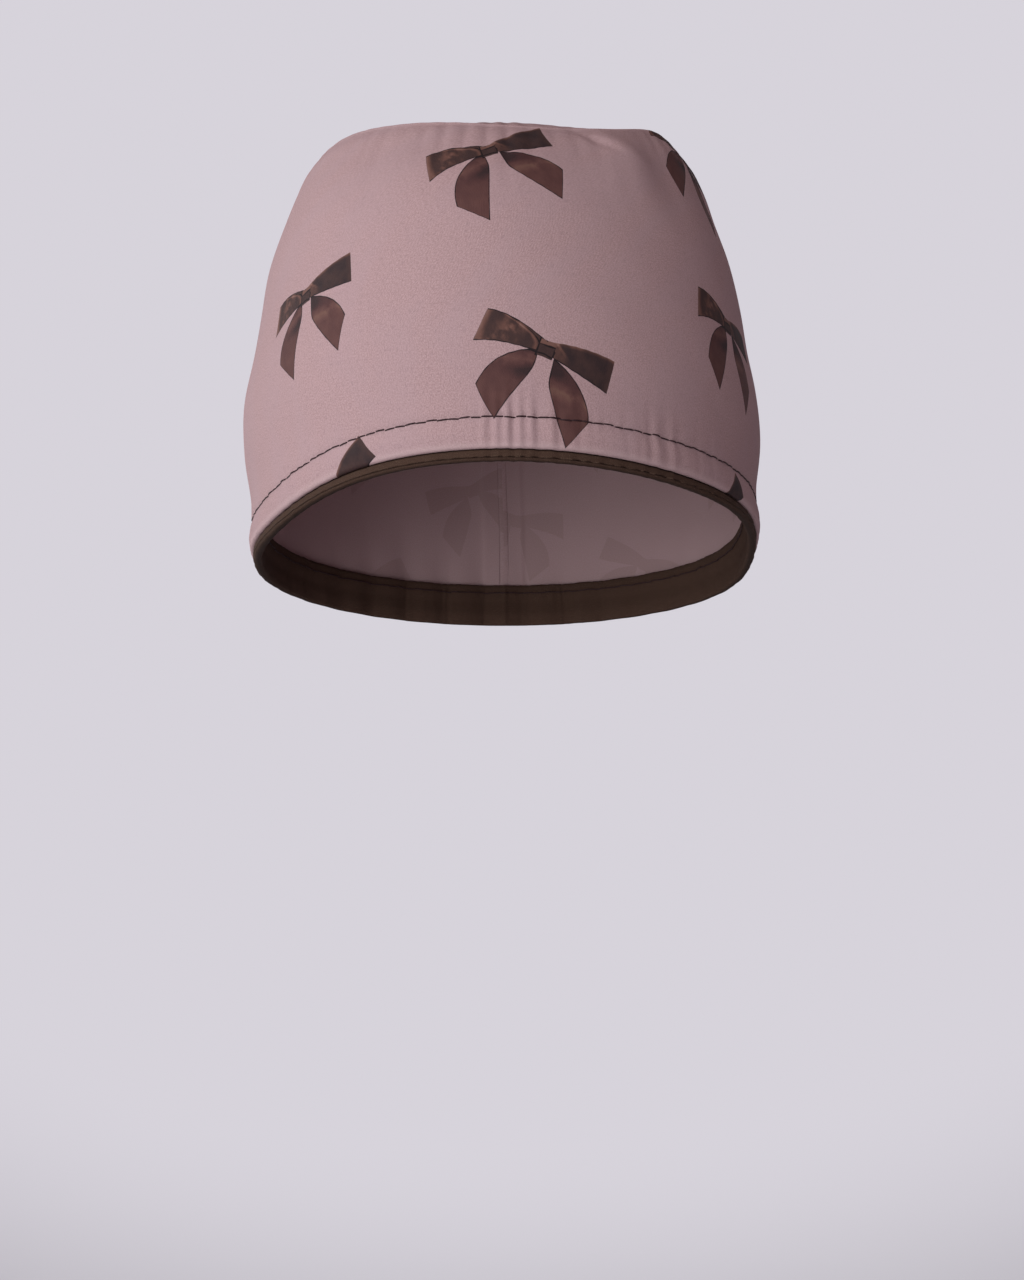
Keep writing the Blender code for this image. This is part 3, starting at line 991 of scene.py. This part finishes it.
def crown_points(depth):
    """Rings from the seam to the middle of a low dome: the band's top edge drawn in, its waves and
    pleats dying out. The first few millimetres roll up out of the seam."""
    theta = band_turn(CROWN_COLUMNS)[None, :-1]
    height = band_height(theta)
    _, out = band_directions(theta, height - 0.0004, FINE_STEP)
    edge = band_surface(theta, height) - out * (SEAM_INSET + depth)
    inset = np.concatenate([
        [0.0, 0.0003, 0.0006, 0.0010, 0.0015, 0.0021, 0.0028, 0.0036],
        np.linspace(0.0046, CROWN_REACH - 0.0003, 52),
    ])[:, None]
    share = 1 - inset / CROWN_REACH
    level = TOP_HEIGHT - depth
    drawn = edge[..., :2] * share[..., None]
    dome = level + (edge[..., 2] - level) * share**8 + CROWN_RISE * (1 - share**2)
    roll = EDGE_ROLL * np.sqrt(1 - (1 - inset / EDGE_WIDTH).clip(0, 1) ** 2)
    pleat = 0.9 * gather_relief(theta, inset * 1.4) * (1 - bell(inset, 0.0012))
    lift = CROWN_SLACK * np.sin(3 * theta + 1) * share * (1 - share) * 4
    return np.concatenate([drawn, (dome + roll + pleat + lift - SEAM_SINK)[..., None]], axis=-1)


def merged_poles(mesh):
    """The mesh with the many points of each pole joined into one."""
    work = bmesh.new()
    work.from_mesh(mesh)
    bmesh.ops.remove_doubles(work, verts=work.verts, dist=1e-6)
    bmesh.ops.dissolve_degenerate(work, edges=work.edges, dist=1e-7)
    work.to_mesh(mesh)
    work.free()
    mesh.shade_smooth()
    return mesh


def crown_mesh():
    """The dome's upper face and its under face a cloth's thickness below, joined round the edge
    and closed at the middle."""
    over = crown_points(0.0)[::-1]
    under = crown_points(CLOTH) - (0.0, 0.0, CLOTH)
    grid = np.concatenate([over, under])
    grid[0] = grid[0].mean(axis=0)
    grid[-1] = grid[-1].mean(axis=0)
    faces = grid_faces(*grid.shape[:2], round_columns=True)[:, ::-1]
    return merged_poles(surface_mesh("crown_cloth", grid.reshape(-1, 3), faces))


def corner_points(mesh):
    """The place of each face corner's point."""
    points = np.zeros(len(mesh.vertices) * 3, np.float32)
    mesh.vertices.foreach_get("co", points)
    index = np.zeros(len(mesh.loops), np.int32)
    mesh.loops.foreach_get("vertex_index", index)
    return points.reshape(-1, 3)[index]


def face_numbers(mesh):
    """The number of the face that each corner belongs to."""
    total = np.zeros(len(mesh.polygons), np.int32)
    mesh.polygons.foreach_get("loop_total", total)
    return np.repeat(np.arange(len(total)), total)


def lay_print(mesh):
    """Stores each corner's place in the bow that is nearest to its face, with 1 on faces that
    don't look down, and its place on threads that run along X and Y."""
    points = 1000 * corner_points(mesh).astype(float)
    face = face_numbers(mesh)
    middles = [np.bincount(face, points[:, i]) / np.bincount(face) for i in range(2)]
    away = np.linalg.norm(np.stack(middles, axis=-1)[:, None] - CROWN_BOWS[:, :2], axis=-1)
    bow = CROWN_BOWS[np.argmin(away, axis=1)[face]]
    x, y = (points[:, :2] - bow[:, :2]).T
    tilt = np.radians(bow[:, 2])
    across = x * np.cos(tilt) + y * np.sin(tilt)
    up = y * np.cos(tilt) - x * np.sin(tilt)
    normals = np.zeros(len(mesh.polygons) * 3, np.float32)
    mesh.polygons.foreach_get("normal", normals)
    upper = normals.reshape(-1, 3)[face, 2] > -0.2
    corner_attribute(mesh, "print_place", np.stack([across, up, upper], axis=-1))
    corner_attribute(mesh, "thread_place", points * (1.0, 1.0, 0.0) + (0.0, 0.0, FAR_FROM_HEM))


crown_cloth = crown_mesh()
lay_print(crown_cloth)
crown_top = new_object(crown_cloth, printed_cotton)
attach(crown_top, "root")
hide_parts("crown_top")

# Rim binding
# A narrow strip of dark-brown cotton, folded double over itself and caught behind the hem, so
# that its folded edge shows all round below the printed cloth.
BINDING_CLOTH = 0.0011
BINDING_SHOW = 0.0032  # what shows below the hem
BINDING_RECESS = 0.0010  # how far its face lies behind the hem's
BINDING_HELD = 0.0020  # what reaches above the hem's turned-in cloth
BINDING_ROLL = 0.0011  # height of its rounded lower edge
BINDING_TURN = 0.0030  # depth past which its cloth faces inwards
SEWN_GAP = 0.0003
HEM_INSIDE = 2 * CLOTH + SEWN_GAP  # depth of the binding's face behind the hem
BINDING_INSIDE = HEM_INSIDE + BINDING_CLOTH
BINDING_RIPPLE = 0.00008
BINDING_PULL = 0.00030  # how deep the stitches pull in
BINDING_COLUMNS = 520
BINDING_BROWN = (0.085, 0.045, 0.033)
BINDING_DARK = (0.041, 0.019, 0.013)
BINDING_FLECK = (0.14, 0.096, 0.068)
# Painted shade on the underside of the binding's rolled edge
BINDING_UNDERSIDE_SHADE = (0.010, 0.007, 0.006)
BINDING_PITCH = 0.45
BINDING_RELIEF = 0.00010


def binding_profile():
    """Rings of height and depth round the folded strip: its rolled lower edge, its visible face,
    the step in behind the hem, its top edge, and its plain inner face."""
    top = HEM_DEPTH + BINDING_HELD
    bevel = 0.0004
    middle = (BINDING_RECESS + BINDING_INSIDE) / 2
    half = (BINDING_INSIDE - BINDING_RECESS) / 2

    def lower_edge(turns):
        return [
            (-BINDING_SHOW + BINDING_ROLL * (1 + math.sin(a)), middle - half * math.cos(a)) for a in turns
        ]

    rings = lower_edge(np.linspace(-math.pi / 2, 0.0, 6))
    rings += [(height, BINDING_RECESS) for height in np.linspace(-0.0022, -0.0007, 4)]
    rings += [
        (-0.0004, BINDING_RECESS + 0.0001),
        (-0.00015, BINDING_RECESS + 0.0006),
        (-0.0001, HEM_INSIDE - bevel),
        (0.0004, HEM_INSIDE),
    ]
    rings += [(height, HEM_INSIDE) for height in np.linspace(0.003, top - bevel, 4)]
    rings += [(top, HEM_INSIDE + bevel), (top, BINDING_INSIDE - bevel)]
    rings += [(height, BINDING_INSIDE) for height in np.linspace(top - bevel, 0.0015 - BINDING_SHOW, 16)]
    rings += lower_edge(np.linspace(-math.pi, -math.pi / 2, 6)[1:-1])
    return np.array(rings)


def binding_relief(theta, height):
    """Small ripples of the folded edge, and a shallow groove inside where the stitches hold it."""
    broad = np.sin(61 * theta + 1.2 * np.sin(17 * theta))
    ripple = BINDING_RIPPLE * (broad + 0.625 * np.sin(113 * theta))
    groove = BINDING_PULL * bell(height - STITCH_HEIGHT, GROOVE_WIDTH)
    return ripple * bell(height + 0.002, 0.006) + groove


def binding_mesh():
    """The folded strip's profile carried all the way round behind the hem. Each corner stores its
    place on the threads, with its height above the hem's edge."""
    profile = binding_profile()
    theta = band_turn(BINDING_COLUMNS)[None, :]
    height, depth = profile[:, 0, None], profile[:, 1, None]
    inward = np.where(depth > BINDING_TURN, -1.0, 1.0)
    heights = np.broadcast_to(height, (len(profile), theta.size))
    depths = depth + inward * binding_relief(theta, height)
    points = band_point(theta, heights, depths, BROAD_STEP)
    faces = grid_faces(len(profile), BINDING_COLUMNS, round_rows=True, round_columns=True)
    mesh = surface_mesh("rim_binding_cloth", points[:, :-1].reshape(-1, 3), faces)
    row, column = corner_numbers(len(profile), BINDING_COLUMNS)
    along = lengths_along(points[:1], 1)[0]
    closed = np.concatenate([profile, profile[:1]])
    run = lengths_along(closed, 0)
    thread = np.stack([along[column], run[row], closed[row, 0]], axis=-1)
    corner_attribute(mesh, "thread_place", 1000 * thread)
    return mesh


def binding_cloth(name):
    """Matt dark-brown cotton: a coarse plain weave with pale flecks, and painted shade on the underside of
    its folded edge.
    """
    material, tree, shader = new_finish(name)
    thread = attribute_vector(tree, "thread_place")
    flat = stretched(tree, thread, (1.0, 1.0, 0.0))
    grain = mottle(tree, stretched(tree, thread, (3.0, 3.0, 0.0)), 2.0, 0.7)
    weave = woven(tree, flat, BINDING_PITCH)
    height = tones_of(tree, thread)[2]
    # Painted shade: the rolled lower edge darkened towards its underside
    low = 1.0 - height.step(-3.6, -2.6)
    colour = mixed(tree, (grain * 0.6 + weave * 0.4).step(0.25, 0.8), BINDING_DARK, BINDING_BROWN)
    colour = mixed(tree, grain.step(0.60, 0.78) * 0.5, colour, BINDING_FLECK)
    colour = mixed(tree, low * 0.75, colour, BINDING_UNDERSIDE_SHADE)
    tree.links.new(colour, shader.inputs["Base Color"])
    shader.inputs["Roughness"].default_value = 0.9
    shader.inputs["Specular IOR Level"].default_value = 0.10
    tree.links.new(raised(tree, weave * 0.6 + grain * 0.7, BINDING_RELIEF), shader.inputs["Normal"])
    return material


binding_cotton = binding_cloth("binding_cotton")
rim_binding = new_object(binding_mesh(), binding_cotton)
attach(rim_binding, "root")
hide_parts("rim_binding")

# Hem topstitching
# One row of dark maroon lockstitches through the hem and the binding: long stitches outside that
# sink at each needle hole, and the bobbin thread's stitches on the inner face.
THREAD = 0.00042
STITCH_LENGTH = 1.02  # as a share of the way between two needle holes
STITCH_POINTS = 9
THREAD_SIDES = 8
THREAD_MAROON = (0.040, 0.012, 0.015)
THREAD_SHADE = (0.016, 0.005, 0.006)
THREAD_RELIEF = 0.00006


def stitch_row(name, depth, sign):
    """A short thread for each stitch, carried along the hem's line: a round tube whose middle lies
    on the cloth and whose ends dip into it. depth is where the cloth's face is, and sign is 1 on
    the outer face and -1 on the inner."""
    pitch = 2 * math.pi / STITCHES
    number = np.arange(STITCHES)[:, None]
    along = np.linspace(-0.5, 0.5, STITCH_POINTS)[None, :]
    drift = 0.00012 * np.sin(number * 2.4) + 0.00007 * np.sin(number * 5.1)
    theta = -math.pi + (number + 0.5) * pitch + along * pitch * STITCH_LENGTH
    sunk = 0.00020 + 0.00030 * (np.sin(number * 2.9) > 0.72)
    lift = (0.00014 + 0.00005 * np.sin(number * 1.9) - sunk * (2 * np.abs(along)) ** 10) * sign
    height = STITCH_HEIGHT + drift + 0.0001 * np.sin(number * 3.7) * along * 2
    up, out = band_directions(theta, height, BROAD_STEP)
    middle = band_surface(theta, height) + out * (lift - depth)[..., None]
    turn = np.linspace(0.0, 2 * math.pi, THREAD_SIDES, endpoint=False)[:, None]
    thick = THREAD / 2 * np.sqrt(np.clip(1 - (1.8 * along) ** 8, 0.10, 1.0))[..., None, None]
    ring = up[:, :, None] * np.cos(turn) + out[:, :, None] * 0.8 * np.sin(turn)
    tube = middle[:, :, None] + ring * thick
    side = grid_faces(STITCH_POINTS, THREAD_SIDES, round_columns=True)
    end = np.array([[0, 1, 2, 3], [0, 3, 4, 5], [0, 5, 6, 7]])
    one = np.concatenate([side, end[:, ::-1], end + (STITCH_POINTS - 1) * THREAD_SIDES])
    first = number[..., None] * STITCH_POINTS * THREAD_SIDES
    return surface_mesh(name, tube.reshape(-1, 3), (one + first).reshape(-1, 4))


def sewing_thread(name):
    """Spun polyester thread with a slight gloss and its twist as fine slanting ridges."""
    material, tree, shader = new_finish(name)
    place = tree.nodes.new("ShaderNodeTexCoord").outputs["Object"]
    twist = mottle(tree, stretched(tree, place, (3200.0, 3200.0, 5200.0)), 1.0, 0.5, True)
    tree.links.new(mixed(tree, twist, THREAD_SHADE, THREAD_MAROON), shader.inputs["Base Color"])
    shader.inputs["Roughness"].default_value = 0.6
    shader.inputs["Specular IOR Level"].default_value = 0.25
    tree.links.new(raised(tree, twist, THREAD_RELIEF), shader.inputs["Normal"])
    return material


stitch_thread = sewing_thread("stitch_thread")
hem_stitching = new_object(stitch_row("hem_stitching", 0.0, 1.0), stitch_thread)
inner_stitching = new_object(stitch_row("hem_stitching_inside", BINDING_INSIDE, -1.0), stitch_thread)
for row_of_stitches in (hem_stitching, inner_stitching):
    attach(row_of_stitches, "root")
